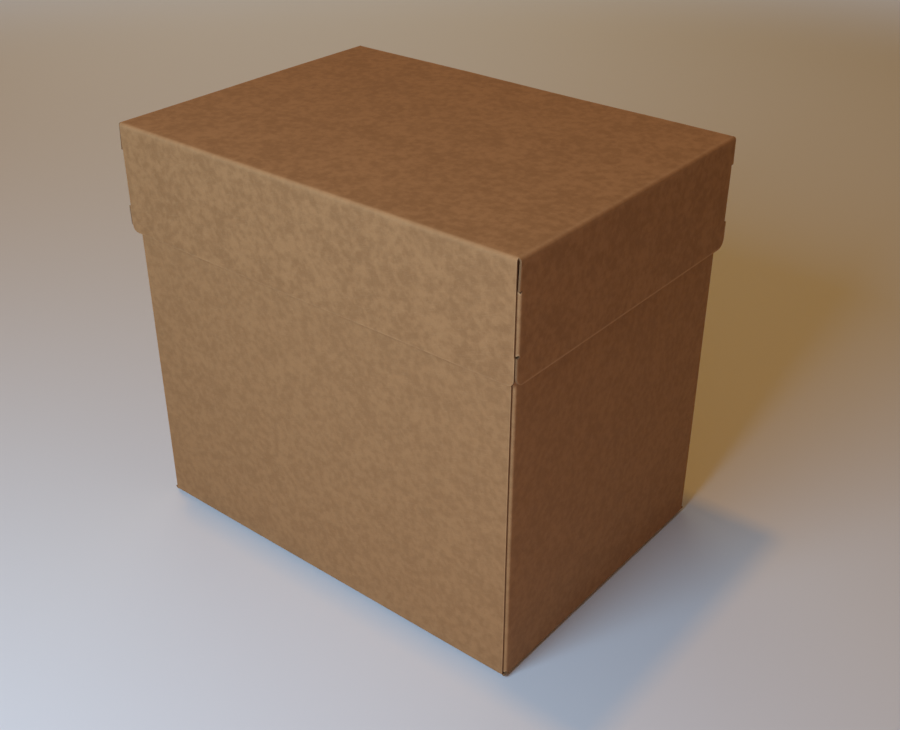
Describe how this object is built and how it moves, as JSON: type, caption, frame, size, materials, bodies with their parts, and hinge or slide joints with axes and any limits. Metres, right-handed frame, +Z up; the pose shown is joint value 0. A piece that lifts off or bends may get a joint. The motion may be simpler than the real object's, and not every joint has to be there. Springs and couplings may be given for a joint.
{
  "type": "card box with lift-off lid",
  "caption": "Plain kraft card box: a deep folded base tray under a shallow telescoping lid, closed, with glued corner tabs.",
  "frame": {"origin": "middle of the underside of the closed box, on the surface that it stands on", "axes": "+X along the long side, +Y along the short side, +Z up, the way the lid lifts off"},
  "size_m": [0.1544, 0.1106, 0.1402],
  "materials": {
    "base_board": "matte",
    "lid_board": "matte"
  },
  "bodies": {
    "base": {"base_tray": "base_board"},
    "cover": {"lid": "lid_board"}
  },
  "joints": [
    {"name": "lid_lift", "type": "slide", "parent": "base", "child": "cover", "axis": [0, 0, 1], "range_m": [0, 0.06]}
  ]
}
